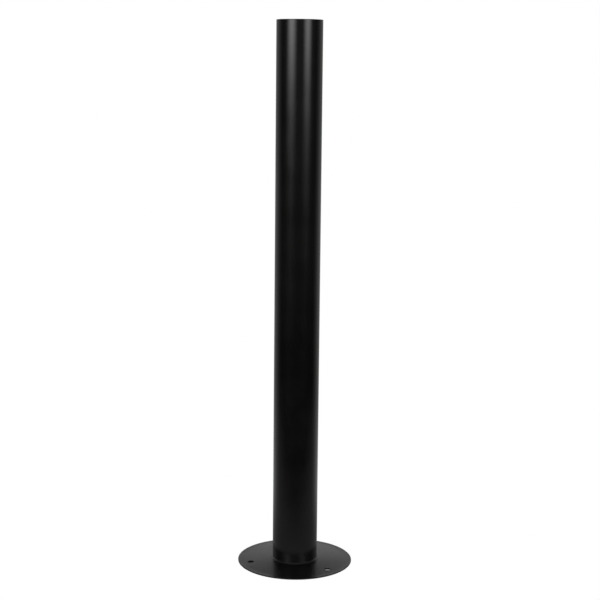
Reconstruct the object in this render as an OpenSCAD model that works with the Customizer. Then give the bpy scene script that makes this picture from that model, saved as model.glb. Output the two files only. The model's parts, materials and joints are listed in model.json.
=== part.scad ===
// Round bollard post: a steel tube stands on a thin round base plate pressed to a shallow cone,
// held by one fillet weld all round its foot, and a moulded cap is pressed into its top.
// All sizes are in millimetres.
// Origin: centre of the base plate, on the ground. +Z runs up the tube, and +Y passes through
// one of the fixing holes.

/* [Post] */
// Height of the whole post, from the ground to the rim of the tube
post_h = 915; // [500:5:1200]
// Outside diameter of the tube
tube_d = 76.1; // [60.3:0.1:88.9]
// Wall thickness of the tube
tube_wall = 2; // [1.5:0.1:3.2]
// Rounding of the tube's top rim, outside and inside
rim_r = 0.5; // [0.2:0.1:0.7]

/* [Base plate] */
// Diameter of the base plate
plate_d = 195; // [190:1:260]
// Thickness of the base plate
plate_t = 2; // [2:0.5:4]
// How far the middle of the plate, under the tube, is pressed up above the rim
plate_rise = 2.8; // [1:0.2:8]
// Width of the flat land round the rim, which lies on the ground
plate_land = 4; // [2:0.5:8]
// Rounding of the plate's outer edge, above and below
plate_edge_r = 0.5; // [0.2:0.1:0.9]
// Diameter of the drain hole in the middle of the plate, inside the tube
drain_d = 12; // [6:1:30]

/* [Fixing holes] */
// Number of fixing holes, evenly spaced
hole_count = 3; // [3:1:8]
// Diameter of each fixing hole, for an M10 anchor or screw
hole_d = 10.5; // [6:0.5:14]
// Diameter of the circle through the hole centres
hole_pcd = 156; // [140:1:170]

/* [Foot weld] */
// Leg of the fillet weld, up the tube and out over the plate
weld_leg = 2.5; // [2:0.5:6]
// How far the face of the weld is hollowed below a straight fillet, as a part of its leg
weld_hollow = 0.12; // [0.05:0.01:0.20]

/* [Top cap] */
// Thickness of the cap's face
cap_face_t = 3; // [2:0.5:5]
// How far the cap's face lies below the rim of the tube
cap_sink = 0.5; // [0:0.1:3]
// Depth of the cap's skirt below its face
cap_skirt_h = 24; // [16:1:40]
// Wall thickness of the skirt
cap_skirt_wall = 2; // [1.5:0.5:4]
// Number of gripping fins round the skirt
cap_fin_count = 4; // [2:1:6]
// Thickness of each gripping fin
cap_fin_t = 1; // [0.8:0.1:1.5]

/* [Hidden] */
$fn = 96;
tube_r = tube_d / 2;
bore_r = tube_r - tube_wall;
foot_z = plate_t + plate_rise;
tube_h = post_h - foot_z;
// how steeply the plate falls away from the tube
cone_fall = atan(plate_rise / (plate_d / 2 - plate_land - tube_r));
first_hole_angle = 90;
// the cap
cap_top = post_h - cap_sink;
cap_face_gap = 0.15;
cap_face_r = bore_r - cap_face_gap;
cap_edge_r = 0.8;
cap_skirt_r = bore_r - 3;
cap_web_t = 1.5;
cap_web_h = 10;
cap_gate_d = 4;
cap_gate_depth = 0.4;
cap_fin_pitch = (cap_skirt_h - cap_fin_t) / cap_fin_count;
// the weld: its face is a hollow arc through both toes, centred on the bisector of the corner
weld_corner = 90 + cone_fall;
weld_sag = weld_leg * weld_hollow;
weld_chord = 2 * weld_leg * sin(weld_corner / 2);
weld_face_r = (pow(weld_chord / 2, 2) + pow(weld_sag, 2)) / (2 * weld_sag);
weld_centre = weld_leg * cos(weld_corner / 2) + weld_face_r - weld_sag;
weld_blank = 1.2 * weld_leg;
// how far a cutting tool runs past the face it cuts
past = 1;

// Cross-section of a flat ring from radius r1 to r2 and of height h. The corners are counted from
// the low inner one, anticlockwise, and those flagged in rounded are rounded by r.
module ring_section(r1, r2, h, r, rounded) {
    corners = [[r1, 0], [r2, 0], [r2, h], [r1, h]];
    difference() {
        translate([r1, 0]) square([r2 - r1, h]);
        for (i = [0 : 3]) {
            if (rounded[i]) {
                translate(corners[i]) rotate(90 * i) corner_waste(r);
            }
        }
    }
}

// What rounding by r takes off a corner at the origin whose material lies towards +X and +Y.
module corner_waste(r) {
    difference() {
        translate([-past, -past]) square(r + past);
        translate([r, r]) circle(r = r);
    }
}

// The thin round plate, with its fixing holes and the drain hole. Only its rim lies on the ground.
module base_plate() {
    color([0.07, 0.07, 0.07])
    difference() {
        rotate_extrude() plate_section();
        translate([0, 0, -past]) cylinder(d = drain_d, h = foot_z + 2 * past);
        for (i = [0 : hole_count - 1]) {
            rotate([0, 0, first_hole_angle + i * 360 / hole_count])
                translate([hole_pcd / 2, 0, -past])
                cylinder(d = hole_d, h = foot_z + 2 * past);
        }
    }
}

// Flat under the tube, falling as a cone to the flat land round the rim.
module plate_section() {
    land_r = plate_d / 2 - plate_land;
    ring_section(land_r, plate_d / 2, plate_t, plate_edge_r, [0, 1, 1, 0]);
    polygon([
        [0, plate_rise],
        [tube_r, plate_rise],
        [land_r, 0],
        [land_r, plate_t],
        [tube_r, foot_z],
        [0, foot_z]
    ]);
}

// The straight tube, standing on the plate. Its foot is square and its rim is broken smooth.
module post_tube() {
    color([0.06, 0.06, 0.06])
    translate([0, 0, foot_z])
    rotate_extrude() ring_section(bore_r, tube_r, tube_h, rim_r, [0, 0, 1, 1]);
}

// The fillet weld in the corner between tube and plate. Its hollow face runs out smoothly on both.
module foot_weld() {
    color([0.05, 0.05, 0.05])
    translate([0, 0, foot_z])
    rotate_extrude()
    translate([tube_r, 0])
    difference() {
        polygon([
            [0, 0],
            [weld_blank * cos(cone_fall), -weld_blank * sin(cone_fall)],
            [0, weld_blank]
        ]);
        rotate(90 - weld_corner / 2) translate([weld_centre, 0]) circle(r = weld_face_r);
    }
}

// The moulded cap: a round face just below the rim, on a hollow skirt whose fins grip the bore.
module top_cap() {
    color([0.10, 0.10, 0.10])
    difference() {
        union() {
            cap_face();
            cap_skirt();
            for (i = [1 : cap_fin_count]) {
                translate([0, 0, cap_top - cap_face_t - i * cap_fin_pitch]) cap_fin();
            }
            for (angle = [0, 90]) {
                rotate([0, 0, angle]) cap_web();
            }
        }
        translate([0, 0, cap_top - cap_gate_depth]) cylinder(d = cap_gate_d, h = past);
    }
}

module cap_face() {
    translate([0, 0, cap_top - cap_face_t])
    rotate_extrude() ring_section(0, cap_face_r, cap_face_t, cap_edge_r, [0, 0, 1, 0]);
}

module cap_skirt() {
    translate([0, 0, cap_top - cap_face_t - cap_skirt_h])
    difference() {
        cylinder(r = cap_skirt_r, h = cap_skirt_h);
        translate([0, 0, -past]) cylinder(r = cap_skirt_r - cap_skirt_wall, h = cap_skirt_h + past);
    }
}

// One thin ring that springs against the inside of the tube.
module cap_fin() {
    difference() {
        cylinder(r = bore_r, h = cap_fin_t);
        translate([0, 0, -past]) cylinder(r = cap_skirt_r - cap_skirt_wall / 2, h = cap_fin_t + 2 * past);
    }
}

// One of the two webs that cross under the face and keep it flat.
module cap_web() {
    width = 2 * (cap_skirt_r - cap_skirt_wall / 2);
    translate([-width / 2, -cap_web_t / 2, cap_top - cap_face_t - cap_web_h])
    cube([width, cap_web_t, cap_web_h]);
}

base_plate();
post_tube();
foot_weld();
top_cap();
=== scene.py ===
"""Looks of the round bollard post: a coated steel tube, welded to a slightly coned base plate and closed by a
moulded cap."""

import json
import math

import bpy
from mathutils import Matrix, Vector, geometry, noise


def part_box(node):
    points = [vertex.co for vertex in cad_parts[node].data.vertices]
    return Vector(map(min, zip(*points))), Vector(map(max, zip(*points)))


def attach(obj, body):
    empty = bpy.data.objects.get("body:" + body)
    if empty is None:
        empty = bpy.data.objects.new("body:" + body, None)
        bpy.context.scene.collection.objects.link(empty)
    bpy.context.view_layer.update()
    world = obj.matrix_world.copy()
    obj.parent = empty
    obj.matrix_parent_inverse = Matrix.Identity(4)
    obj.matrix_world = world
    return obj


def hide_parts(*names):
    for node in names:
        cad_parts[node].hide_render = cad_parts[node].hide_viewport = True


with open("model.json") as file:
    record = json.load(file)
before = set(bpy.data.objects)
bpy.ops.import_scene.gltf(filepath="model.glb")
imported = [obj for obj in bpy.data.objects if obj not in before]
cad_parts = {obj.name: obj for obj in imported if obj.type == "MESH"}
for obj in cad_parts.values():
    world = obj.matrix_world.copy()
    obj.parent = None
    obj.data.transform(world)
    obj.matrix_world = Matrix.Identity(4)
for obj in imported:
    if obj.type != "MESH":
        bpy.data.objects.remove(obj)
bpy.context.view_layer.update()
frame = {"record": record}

MM = 0.001
TAU = 2 * math.pi

# ---------------------------------------------------------------- sizes, from the frame
PLATE_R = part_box("base_plate")[1].x
PLATE_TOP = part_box("base_plate")[1].z
TUBE_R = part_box("post_tube")[1].x
TUBE_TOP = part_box("post_tube")[1].z
WELD_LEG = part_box("foot_weld")[1].z - PLATE_TOP
CAP_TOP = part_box("top_cap")[1].z
CAP_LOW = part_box("top_cap")[0].z
BOLTS = next(m for m in frame["record"]["mounts"] if m["name"] == "base_bolts")["dims"]
HOLE_R = BOLTS["hole_r_mm"] * MM
HOLE_CIRCLE_R = BOLTS["pcd_mm"] / 2 * MM
HOLE_COUNT = BOLTS["count"]

TUBE_WALL = 2 * MM
BORE_R = TUBE_R - TUBE_WALL
RIM_ROUND = 0.5 * MM
PLATE_T = 2 * MM
PLATE_RISE = PLATE_TOP - PLATE_T
PLATE_ROUND = 0.5 * MM
LAND_R = PLATE_R - 4 * MM
CONE_FALL = math.atan(PLATE_RISE / (LAND_R - TUBE_R))
BEND_END = LAND_R + 2 * MM
BEND_WIDTH = 8 * MM
HOLE_ROUND = 0.25 * MM
DRAIN_R = 6 * MM
WELD_HOLLOW = 0.12
CAP_GAP = 0.15 * MM
CAP_ROUND = 0.8 * MM
CAP_FACE_T = 3 * MM
CAP_SKIRT_R = BORE_R - 3 * MM
CAP_SKIRT_WALL = 2 * MM
CAP_FINS = 4
CAP_FIN_T = 1 * MM
CAP_WEB_T = 1.5 * MM
CAP_WEB_H = 10 * MM
CAP_GATE_R = 2 * MM
CAP_GATE_DEPTH = 0.4 * MM

# ---------------------------------------------------------------- the camera's place
CAMERA_AZIMUTH = math.radians(14.1)  # the post is seen from a little to the right of its -Y side
CAMERA_DISTANCE = 2.2672
CAMERA_HEIGHT = 0.8399
CAMERA_DOWN = math.radians(9.641)
CAMERA_RIGHT = math.radians(0.121)
CAMERA_ROLL = math.radians(0.579)
CAMERA_LENS = 82.41

# ---------------------------------------------------------------- the studio, with angles in degrees
BACKDROP_LIGHT = 0.33
BACKDROP_ENDS = (45, 97)
FRONT_LIGHT = 0.17
LOW_FRONT_LIGHT = 0.045
OVERHEAD_LIGHT = 0.25
FLOOR_LIGHT = 0.22
FLOOR_HALF = 8
LEAK_RIGHT = 0.17  # painted light: how bright the floor in the painted shade under the plate is seen
LEAK_LEFT = 0.01
SOFTBOXES = ((39.5, 31, 5.7), (-40.5, 27, 4.9))  # each one's angle off the camera, half its spread, its light
SOFTBOX_LOW = -1.7
SOFTBOX_FULL = 3.0


def level(angle):
    """A level unit vector: 0 degrees points from the camera to the post, and positive angles turn left."""
    a = CAMERA_AZIMUTH + math.radians(angle)
    return Vector((-math.sin(a), math.cos(a), 0))


def add_camera():
    data = bpy.data.cameras.new("camera")
    data.lens = CAMERA_LENS
    camera = bpy.data.objects.new("camera", data)
    bpy.context.scene.collection.objects.link(camera)
    place = -level(0) * CAMERA_DISTANCE + Vector((0, 0, CAMERA_HEIGHT))
    camera.matrix_world = (
        Matrix.Translation(place)
        @ Matrix.Rotation(CAMERA_AZIMUTH - CAMERA_RIGHT, 4, "Z")
        @ Matrix.Rotation(math.pi / 2 - CAMERA_DOWN, 4, "X")
        @ Matrix.Rotation(CAMERA_ROLL, 4, "Z")
    )
    bpy.context.scene.camera = camera


# ---------------------------------------------------------------- mesh building
def make_piece(name, verts, faces, corner_normals=None):
    """A smooth-shaded mesh object. corner_normals are the exact normals at the faces' corners, in order."""
    mesh = bpy.data.meshes.new(name)
    mesh.from_pydata(verts, [], faces)
    mesh.shade_smooth()
    if corner_normals is None:
        mesh.set_sharp_from_angle(angle=math.radians(50))
    else:
        mesh.normals_split_custom_set(corner_normals)
    piece = bpy.data.objects.new(name, mesh)
    bpy.context.scene.collection.objects.link(piece)
    return piece


def dress(piece, node, material):
    """Makes the piece stand for the CAD node, in the given material."""
    piece.data.materials.append(material)
    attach(piece, "root")
    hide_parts(node)


def arc(centre, radius, start, end, steps):
    """Points and normals along an arc in the (radius, height) plane, from start to end in degrees."""
    side = 1 if end > start else -1  # clockwise arcs are hollow, and their normals point to the centre
    out = []
    for i in range(steps + 1):
        a = math.radians(start + (end - start) * i / steps)
        normal = (side * math.cos(a), side * math.sin(a))
        out.append(((centre[0] + radius * math.cos(a), centre[1] + radius * math.sin(a)), normal))
    return out


def straight(start, end, steps=1):
    """Evenly spaced points from start to end, with the normal on the right of that way."""
    along = (end[0] - start[0], end[1] - start[1])
    size = math.hypot(*along)
    normal = (along[1] / size, -along[0] / size)
    parts = [i / steps for i in range(steps + 1)]
    return [((start[0] + along[0] * t, start[1] + along[1] * t), normal) for t in parts]


def same(p, q):
    return math.dist(p, q) < 1e-8


class Shell:
    """Gathers vertices and faces, with the exact normal at each face corner."""

    def __init__(self):
        self.verts, self.faces, self.normals = [], [], []

    def add_vertex(self, co):
        self.verts.append(tuple(co))
        return len(self.verts) - 1

    def add_face(self, corners, normals):
        self.faces.append(corners)
        self.normals.extend(normals)

    def turn(self, outline, segments, closed=True, centre=(0, 0)):
        """Turns an anticlockwise outline of (point, normal) pairs round an upright axis. Pairs that share a
        point and differ in normal are a sharp corner. Returns the rings of the first and the last point."""
        rings, where = [], []
        for i, (p, _) in enumerate(outline):
            if i and same(p, outline[i - 1][0]):
                where.append(where[-1])
                continue
            if closed and i == len(outline) - 1 and same(p, outline[0][0]):
                where.append(0)
                continue
            where.append(len(rings))
            if p[0] < 1e-9:
                rings.append([self.add_vertex((centre[0], centre[1], p[1]))] * segments)
                continue
            ring = []
            for k in range(segments):
                a = TAU * k / segments
                place = (centre[0] + p[0] * math.cos(a), centre[1] + p[0] * math.sin(a), p[1])
                ring.append(self.add_vertex(place))
            rings.append(ring)
        for i in range(len(outline) - 1):
            if where[i] == where[i + 1]:
                continue
            low, high = rings[where[i]], rings[where[i + 1]]
            n, m = outline[i][1], outline[i + 1][1]
            for k in range(segments):
                j = (k + 1) % segments
                quad = ((low[k], n, k), (low[j], n, k + 1), (high[j], m, k + 1), (high[k], m, k))
                corners, normals = [], []
                for v, normal, step in quad:
                    if v not in corners:
                        a = TAU * step / segments
                        corners.append(v)
                        normals.append((normal[0] * math.cos(a), normal[0] * math.sin(a), normal[1]))
                self.add_face(corners, normals)
        return rings[where[0]], rings[where[-1]]

    def piece(self, name):
        return make_piece(name, self.verts, self.faces, self.normals)


# ---------------------------------------------------------------- the pieces
def build_tube():
    e = RIM_ROUND
    outline = (
        straight((TUBE_R, PLATE_TOP), (TUBE_R, TUBE_TOP - e), 24)
        + arc((TUBE_R - e, TUBE_TOP - e), e, 0, 90, 6)
        + straight((TUBE_R - e, TUBE_TOP), (BORE_R + e, TUBE_TOP))
        + arc((BORE_R + e, TUBE_TOP - e), e, 90, 180, 6)
        + straight((BORE_R, TUBE_TOP - e), (BORE_R, PLATE_TOP), 24)
        + straight((BORE_R, PLATE_TOP), (TUBE_R, PLATE_TOP))
    )
    shell = Shell()
    shell.turn(outline, 256)
    return shell.piece("tube")


def hole_centres():
    """The fixing holes' centres: evenly spaced, the first on +Y."""
    for i in range(HOLE_COUNT):
        a = math.pi / 2 + i * TAU / HOLE_COUNT
        yield HOLE_CIRCLE_R * math.cos(a), HOLE_CIRCLE_R * math.sin(a)


def press(shell):
    """Presses the flat plate up to a cone between the tube and the land round its rim. The shading eases the
    bend at the land."""
    corner = 0
    for face in shell.faces:
        middle = sum((Vector(shell.verts[v][:2]) for v in face), Vector((0, 0))) / len(face)
        for v in face:
            x, y, _ = shell.verts[v]
            r = math.hypot(x, y)
            soft = min(max((BEND_END - r) / BEND_WIDTH, 0), 1)
            fall = math.tan(CONE_FALL) * soft * soft * (3 - 2 * soft) if middle.length > TUBE_R else 0
            nx, ny, nz = shell.normals[corner]
            tilted = Vector((nx + fall * nz * x / r, ny + fall * nz * y / r, nz))
            shell.normals[corner] = tilted.normalized()
            corner += 1
    for v, (x, y, z) in enumerate(shell.verts):
        part = (LAND_R - math.hypot(x, y)) / (LAND_R - TUBE_R)
        shell.verts[v] = (x, y, z + PLATE_RISE * min(max(part, 0), 1))


def build_plate():
    """The plate is made flat, with its faces triangulated between the rounded outer edge and the lips of the
    holes, and then pressed to its cone."""
    shell = Shell()
    e = PLATE_ROUND
    edge = (
        arc((PLATE_R - e, e), e, -90, 0, 5)
        + straight((PLATE_R, e), (PLATE_R, PLATE_T - e))
        + arc((PLATE_R - e, PLATE_T - e), e, 0, 90, 5)
    )
    loops = [shell.turn(edge, 240, closed=False)]
    holes = [(x, y, HOLE_R, 48) for x, y in hole_centres()] + [(0, 0, DRAIN_R, 60)]
    for x, y, r, segments in holes:
        e = HOLE_ROUND
        lip = (
            arc((r + e, PLATE_T - e), e, 90, 180, 4)
            + straight((r, PLATE_T - e), (r, e))
            + arc((r + e, e), e, 180, 270, 4)
        )
        top, bottom = shell.turn(lip, segments, closed=False, centre=(x, y))
        loops.append((bottom, top))
    corners = [Vector(shell.verts[v][:2]) for _, top in loops for v in top]
    outlines, first = [], 0
    for _, top in loops:
        outlines.append(list(range(first, first + len(top))))
        first += len(top)
    # rings of points let the flat faces bend, most of all under the tube's wall and at the land
    fill = []
    rings = [(r * MM, 48) for r in (14, 22, 30)] + [(TUBE_R, 120)]
    rings += [(TUBE_R + r * MM, 72) for r in (8, 16, 24, 32, 40, 48)] + [(LAND_R, 180)]
    clear = 3 * MM
    for r, count in rings:
        for k in range(count):
            p = Vector((r * math.cos(TAU * k / count), r * math.sin(TAU * k / count)))
            if all((p - Vector((x, y))).length > hole_r + clear for x, y, hole_r, _ in holes):
                fill.append(p)
    cut = geometry.delaunay_2d_cdt(corners + fill, [], outlines, 1, 1e-7)
    points, triangles, origins = cut[0], cut[2], cut[3]
    flats = []
    for side, (z, up) in enumerate(((0, -1), (PLATE_T, 1))):
        given = [v for pair in loops for v in pair[side]]
        given += [shell.add_vertex((p.x, p.y, z)) for p in fill]
        flats.append((given, up))
    for triangle in triangles:
        a, b, c = (points[i] for i in triangle)
        middle = (a + b + c) / 3
        if any((middle - Vector((x, y))).length < hole_r for x, y, hole_r, _ in holes):
            continue
        for given, up in flats:
            face = [given[origins[i][0]] for i in triangle]
            anticlockwise = (b - a).cross(c - a) > 0
            shell.add_face(face if anticlockwise == (up > 0) else face[::-1], [(0, 0, up)] * 3)
    press(shell)
    return shell.piece("plate")


def build_weld():
    """One run of weld all round the foot: a hollow fillet with faint crescent ripples and uneven toes."""
    segments, steps, sunk = 960, 14, 0.6 * MM
    ripples, ripple_height, unevenness = 84, 0.03 * MM, 0.05 * MM
    sag = WELD_LEG * WELD_HOLLOW
    corner = math.pi / 2 + CONE_FALL
    half_chord = WELD_LEG * math.sin(corner / 2)
    face_r = (half_chord**2 + sag**2) / (2 * sag)
    reach = WELD_LEG * math.cos(corner / 2) + face_r - sag
    bisector = math.pi / 2 - corner / 2
    swing = math.asin(half_chord / face_r) * 1.08  # a little more than the face, so that its toes sink in
    verts, faces = [], []
    for k in range(segments):
        a = TAU * k / segments
        c, s = math.cos(a), math.sin(a)
        for i in range(steps + 1):
            t = i / steps
            b = bisector + swing * (2 * t - 1)
            middle = 1 - (2 * t - 1) ** 2
            ripple = math.sin(a * ripples + 1.6 * middle + 1.2 * noise.noise((3 * c, 3 * s, 0.7)))
            uneven = noise.noise((9 * c, 9 * s, 2 * t))
            out = face_r + ripple_height * middle * ripple + unevenness * uneven
            r = TUBE_R + reach * math.cos(bisector) - out * math.cos(b)
            z = PLATE_TOP + reach * math.sin(bisector) - out * math.sin(b)
            verts.append((r * c, r * s, z))
        # the hidden back of the bead, sunk into the plate and the tube
        low, high = PLATE_TOP - sunk, verts[k * (steps + 4)][2]
        for r, z in ((r, low), (TUBE_R - sunk, low), (TUBE_R - sunk, high)):
            verts.append((r * c, r * s, z))
    count = steps + 4
    for k in range(segments):
        this, following = k * count, (k + 1) % segments * count
        for i in range(count):
            j = (i + 1) % count
            faces.append((this + i, this + j, following + j, following + i))
    return make_piece("weld", verts, faces)


def build_cap():
    """The moulded cap: a face with a rounded edge and a gate dimple, on a skirt with fins and two webs."""
    shell = Shell()
    face_r = BORE_R - CAP_GAP
    under = CAP_TOP - CAP_FACE_T
    inside = CAP_SKIRT_R - CAP_SKIRT_WALL
    pitch = (under - CAP_LOW - CAP_FIN_T) / CAP_FINS
    outline = (
        straight((0, under), (inside, under))
        + straight((inside, under), (inside, CAP_LOW))
        + straight((inside, CAP_LOW), (CAP_SKIRT_R, CAP_LOW))
    )
    for i in range(CAP_FINS, 0, -1):
        low = under - i * pitch
        if i == CAP_FINS:
            outline = outline[:-2] + straight((inside, CAP_LOW), (BORE_R, CAP_LOW))
        else:
            outline += straight(outline[-1][0], (CAP_SKIRT_R, low))
            outline += straight((CAP_SKIRT_R, low), (BORE_R, low))
        outline += straight((BORE_R, low), (BORE_R, low + CAP_FIN_T))
        outline += straight((BORE_R, low + CAP_FIN_T), (CAP_SKIRT_R, low + CAP_FIN_T))
    dimple = CAP_TOP - CAP_GATE_DEPTH
    outline += (
        straight(outline[-1][0], (CAP_SKIRT_R, under))
        + straight((CAP_SKIRT_R, under), (face_r, under))
        + straight((face_r, under), (face_r, CAP_TOP - CAP_ROUND))
        + arc((face_r - CAP_ROUND, CAP_TOP - CAP_ROUND), CAP_ROUND, 0, 90, 8)
        + straight((face_r - CAP_ROUND, CAP_TOP), (CAP_GATE_R, CAP_TOP), 4)
        + straight((CAP_GATE_R, CAP_TOP), (CAP_GATE_R - CAP_GATE_DEPTH / 2, dimple), 2)
        + straight((CAP_GATE_R - CAP_GATE_DEPTH / 2, dimple), (0, dimple))
    )
    shell.turn(outline, 192, closed=False)
    half = (inside + CAP_SKIRT_R) / 2
    for across, along in (((half, 0), (0, CAP_WEB_T / 2)), ((0, half), (CAP_WEB_T / 2, 0))):
        add_block(shell, across, along, under - CAP_WEB_H, under + CAP_FACE_T / 2)
    return shell.piece("cap")


def add_block(shell, along, across, low, high):
    """An upright block about the axis: along and across are its half sizes as level vectors."""
    if along[0] * across[1] - along[1] * across[0] < 0:
        across = (-across[0], -across[1])
    ring = [(-1, -1), (1, -1), (1, 1), (-1, 1)]
    level_points = [(a * along[0] + b * across[0], a * along[1] + b * across[1]) for a, b in ring]
    bottom = [shell.add_vertex((x, y, low)) for x, y in level_points]
    top = [shell.add_vertex((x, y, high)) for x, y in level_points]
    shell.add_face(bottom[::-1], [(0, 0, -1)] * 4)
    shell.add_face(top, [(0, 0, 1)] * 4)
    for i in range(4):
        j = (i + 1) % 4
        (x0, y0), (x1, y1) = level_points[i], level_points[j]
        size = math.hypot(x1 - x0, y1 - y0)
        normal = ((y1 - y0) / size, (x0 - x1) / size, 0)
        shell.add_face([bottom[i], bottom[j], top[j], top[i]], [normal] * 4)


# ---------------------------------------------------------------- materials
class Nodes:
    """Short names for adding and linking shader nodes."""

    def __init__(self, tree):
        self.tree = tree

    def add(self, kind, links=None, **settings):
        node = self.tree.nodes.new(kind)
        for key, value in settings.items():
            setattr(node, key, value)
        for key, value in (links or {}).items():
            self.feed(node.inputs[key], value)
        return node

    def feed(self, socket, value):
        if isinstance(value, bpy.types.NodeSocket):
            self.tree.links.new(value, socket)
        else:
            socket.default_value = value

    def math(self, operation, a, b=0.0, c=0.0, clamp=False):
        node = self.add("ShaderNodeMath", {0: a, 1: b, 2: c}, operation=operation)
        node.use_clamp = clamp
        return node.outputs[0]

    def fade(self, value, start, end, low=0.0, high=1.0):
        """A smooth change from low to high while value goes from start to end."""
        links = {"Value": value, "From Min": start, "From Max": end, "To Min": low, "To Max": high}
        return self.add("ShaderNodeMapRange", links, interpolation_type="SMOOTHSTEP").outputs["Result"]

    def noise(self, vector, size, detail=2.0, rough=0.5):
        """Noise from about 0.3 to 0.7, with lumps of the given size in metres."""
        links = {"Vector": vector, "Scale": 1 / size, "Detail": detail, "Roughness": rough}
        return self.add("ShaderNodeTexNoise", links).outputs["Fac"]

    def dot(self, vector, axis):
        node = self.add("ShaderNodeVectorMath", {0: vector, 1: tuple(axis)}, operation="DOT_PRODUCT")
        return node.outputs["Value"]

    def degrees(self, radians):
        return self.math("MULTIPLY", radians, 180 / math.pi)

    def aside(self, left, ahead):
        """How many degrees a direction is off straight behind the post, to either side."""
        return self.math("ABSOLUTE", self.degrees(self.math("ARCTAN2", left, ahead)))

    def blend(self, factor, a, b):
        node = self.add("ShaderNodeMix", data_type="RGBA")
        self.feed(node.inputs["Factor"], factor)
        self.feed(node.inputs[6], a)
        self.feed(node.inputs[7], b)
        return node.outputs[2]


def grey(value, warm=0.0):
    return (value * (1 + warm), value, value * (1 - warm), 1)


def start_material(name):
    material = bpy.data.materials.new(name)
    material.use_nodes = True
    nodes = Nodes(material.node_tree)
    shader = material.node_tree.nodes["Principled BSDF"]
    place = nodes.add("ShaderNodeTexCoord").outputs["Object"]
    return material, nodes, shader, place


def radius_and_height(nodes, place):
    x, y, z = nodes.add("ShaderNodeSeparateXYZ", {0: place}).outputs[:3]
    squares = nodes.math("MULTIPLY_ADD", x, x, nodes.math("POWER", y, 2.0))
    return nodes.math("SQRT", squares), z


def coat(name, rough, worn=None, dusty=0.0, tone=0.008):
    """Satin black powder coat: orange peel, faint patches of gloss and tone, thin wear where worn says."""
    material, nodes, shader, place = start_material(name)
    patches = nodes.noise(place, 45 * MM, 3)
    fine = nodes.noise(place, 6 * MM, 3)
    peel = nodes.noise(place, 1.6 * MM, 1)
    grain = nodes.noise(place, 0.5 * MM, 2)
    colour = nodes.blend(nodes.fade(patches, 0.35, 0.65), grey(tone * 0.85), grey(tone * 1.15, 0.02))
    roughness = nodes.math("MULTIPLY_ADD", nodes.math("SUBTRACT", patches, 0.5), 0.10, rough)
    roughness = nodes.math("MULTIPLY_ADD", nodes.math("SUBTRACT", fine, 0.5), 0.06, roughness)
    if worn is not None:
        radius, height = radius_and_height(nodes, place)
        mask = nodes.math("MULTIPLY", worn(nodes, radius, height), nodes.fade(fine, 0.42, 0.66))
        colour = nodes.blend(mask, colour, grey(tone * 2.6, 0.03))
        roughness = nodes.math("MULTIPLY_ADD", mask, 0.12, roughness)
    if dusty:
        thick = nodes.fade(patches, 0.3, 0.7, 0.3, 1.0)
        specks = nodes.math("MULTIPLY", nodes.fade(grain, 0.56, 0.74), thick)
        colour = nodes.blend(nodes.math("MULTIPLY", specks, dusty), colour, grey(0.09, 0.05))
    nodes.feed(shader.inputs["Base Color"], colour)
    nodes.feed(shader.inputs["Roughness"], roughness)
    dimples = {"Height": peel, "Strength": 0.5, "Distance": 0.012 * MM}
    bump = nodes.add("ShaderNodeBump", dimples).outputs[0]
    waves = {"Height": fine, "Strength": 0.5, "Distance": 0.02 * MM, "Normal": bump}
    nodes.feed(shader.inputs["Normal"], nodes.add("ShaderNodeBump", waves).outputs[0])
    return material


def moulded_plastic(name):
    """Matte black moulded plastic: a fine spark-eroded grain with faint scuffs."""
    material, nodes, shader, place = start_material(name)
    patches = nodes.noise(place, 12 * MM, 3)
    grain = nodes.noise(place, 0.7 * MM, 3, 0.6)
    mapping = {"Vector": place, "Scale": (1, 9, 1), "Rotation": (0, 0, 0.6)}
    stretched = nodes.add("ShaderNodeMapping", mapping).outputs[0]
    scuffs = nodes.fade(nodes.noise(stretched, 9 * MM, 4), 0.60, 0.72)
    colour = nodes.blend(nodes.fade(patches, 0.35, 0.65), grey(0.017), grey(0.023, 0.02))
    colour = nodes.blend(nodes.math("MULTIPLY", scuffs, 0.5), colour, grey(0.045, 0.02))
    roughness = nodes.math("MULTIPLY_ADD", nodes.math("SUBTRACT", patches, 0.5), 0.15, 0.55)
    roughness = nodes.math("MULTIPLY_ADD", scuffs, -0.08, roughness)
    nodes.feed(shader.inputs["Base Color"], colour)
    nodes.feed(shader.inputs["Roughness"], roughness)
    bump = nodes.add("ShaderNodeBump", {"Height": grain, "Strength": 0.6, "Distance": 0.04 * MM})
    nodes.feed(shader.inputs["Normal"], bump.outputs[0])
    return material


def worn_plate(nodes, radius, height):
    """The plate's outer edge."""
    return nodes.fade(radius, PLATE_R - 1.2 * MM, PLATE_R - 0.2 * MM)


def worn_tube(nodes, radius, height):
    """The tube's top rim."""
    return nodes.fade(height, TUBE_TOP - 1.5 * MM, TUBE_TOP - 0.2 * MM)


# ---------------------------------------------------------------- the studio
def seen_and_lighting(nodes, seen, lighting):
    """Emission that is seen as white by the camera, while the post is lit by and mirrors the lighting."""
    ray = nodes.add("ShaderNodeLightPath").outputs["Is Camera Ray"]
    return nodes.blend(ray, lighting, seen)


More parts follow.
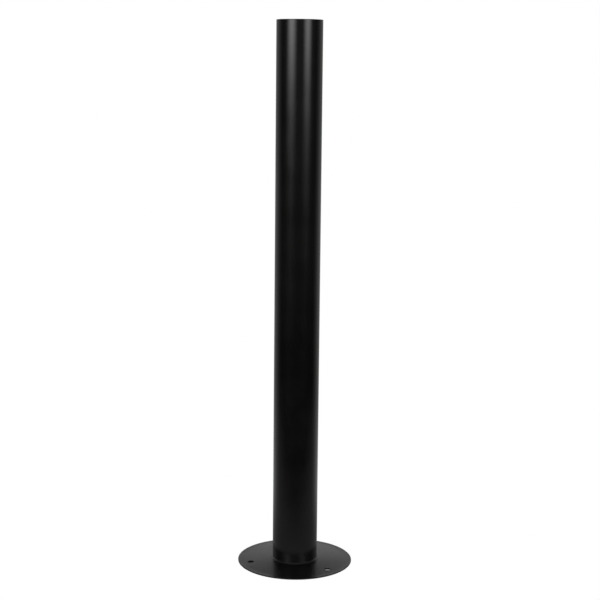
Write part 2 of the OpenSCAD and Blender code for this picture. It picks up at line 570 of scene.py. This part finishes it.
def add_floor():
    mesh = bpy.data.meshes.new("floor")
    corners = [(x * FLOOR_HALF, y * FLOOR_HALF, 0) for x, y in ((-1, -1), (1, -1), (1, 1), (-1, 1))]
    mesh.from_pydata(corners, [], [(0, 1, 2, 3)])
    floor = bpy.data.objects.new("floor", mesh)
    bpy.context.scene.collection.objects.link(floor)
    material = bpy.data.materials.new("pale_floor")
    material.use_nodes = True
    material.node_tree.nodes.clear()
    nodes = Nodes(material.node_tree)
    place = nodes.add("ShaderNodeTexCoord").outputs["Object"]
    radius, _ = radius_and_height(nodes, place)
    left, ahead = nodes.dot(place, level(90)), nodes.dot(place, level(0))
    pool = nodes.fade(radius, 0.2, 1.5, FLOOR_LIGHT, 0.0)
    pool = nodes.math("MULTIPLY", pool, nodes.fade(ahead, -0.62, 0.05))
    behind = nodes.fade(nodes.aside(left, ahead), *BACKDROP_ENDS, BACKDROP_LIGHT, 0.0)
    light = nodes.math("ADD", pool, nodes.math("MULTIPLY", behind, nodes.fade(radius, 0.1, 0.5)))
    light = nodes.math("ADD", light, nodes.fade(radius, 1.2, 3.5, 0.0, LOW_FRONT_LIGHT))
    # painted shade under the plate: the floor there is painted dark, with only a little painted light leaking
    # in, more of it on the right
    # the mask is 1 past the plate's rim and 0 in its painted shadow
    outside_plate_shadow = nodes.fade(radius, PLATE_R - 3 * MM, PLATE_R)
    light = nodes.math("MULTIPLY", light, outside_plate_shadow)
    leak = nodes.fade(left, -0.05, 0.05, LEAK_RIGHT, LEAK_LEFT)
    seen = nodes.math("MAXIMUM", outside_plate_shadow, leak)
    shine = nodes.add("ShaderNodeEmission", {"Color": seen_and_lighting(nodes, seen, light)})
    nodes.add("ShaderNodeOutputMaterial", {"Surface": shine.outputs[0]})
    mesh.materials.append(material)


def add_world():
    """A white backdrop behind the post, dark sides and front, and a soft strip either side of the camera."""
    world = bpy.data.worlds.new("studio")
    bpy.context.scene.world = world
    world.use_nodes = True
    world.node_tree.nodes.clear()
    nodes = Nodes(world.node_tree)
    way = nodes.add("ShaderNodeTexCoord").outputs["Generated"]
    left, ahead = nodes.dot(way, level(90)), nodes.dot(way, level(0))
    turn = nodes.degrees(nodes.math("ARCTAN2", left, ahead))
    rise = nodes.degrees(nodes.math("ARCSINE", nodes.add("ShaderNodeSeparateXYZ", {0: way}).outputs["Z"]))
    aside = nodes.aside(left, ahead)
    glow = nodes.math("MULTIPLY", nodes.fade(rise, 5, 12, 1.0, 5.1), nodes.fade(rise, 11, 24, 1.0, 0.05))
    glow = nodes.math("MULTIPLY", glow, BACKDROP_LIGHT)
    behind = nodes.math("MULTIPLY", nodes.fade(aside, *BACKDROP_ENDS, 1.0, 0.0), glow)
    front = nodes.fade(rise, -6, 3, LOW_FRONT_LIGHT, FRONT_LIGHT)
    front = nodes.math("ADD", front, nodes.fade(rise, 3, 16, 0.0, OVERHEAD_LIGHT - FRONT_LIGHT))
    front = nodes.math("MULTIPLY", front, nodes.fade(rise, 40, 70, 1.0, 0.2))
    light = nodes.math("MULTIPLY_ADD", front, nodes.fade(aside, 80, 125), behind)
    tall = nodes.fade(rise, SOFTBOX_LOW, SOFTBOX_FULL)
    tall = nodes.math("MULTIPLY", tall, nodes.fade(rise, 4, 14, 1.0, 0.02))
    for angle, spread, strength in SOFTBOXES:
        off = nodes.math("WRAP", nodes.math("SUBTRACT", turn, 180.0 - angle), 180.0, -180.0)
        wide = nodes.fade(nodes.math("ABSOLUTE", off), 0, spread, 1.0, 0.0)
        light = nodes.math("MULTIPLY_ADD", nodes.math("MULTIPLY", wide, tall), strength, light)
    shine = nodes.add("ShaderNodeBackground", {"Color": seen_and_lighting(nodes, (1, 1, 1, 1), light)})
    nodes.add("ShaderNodeOutputWorld", {"Surface": shine.outputs[0]})


# ---------------------------------------------------------------- the whole scene
TUBE_ROUGH = 0.16
PLATE_ROUGH = 0.36
WELD_ROUGH = 0.42

add_camera()
dress(build_tube(), "post_tube", coat("tube_coat", TUBE_ROUGH, worn_tube, tone=0.0095))
dress(build_plate(), "base_plate", coat("plate_coat", PLATE_ROUGH, worn_plate, dusty=0.15))
dress(build_weld(), "foot_weld", coat("weld_coat", WELD_ROUGH, dusty=0.1))
dress(build_cap(), "top_cap", moulded_plastic("cap_plastic"))
add_floor()
add_world()
bpy.context.scene.view_settings.view_transform = "Standard"
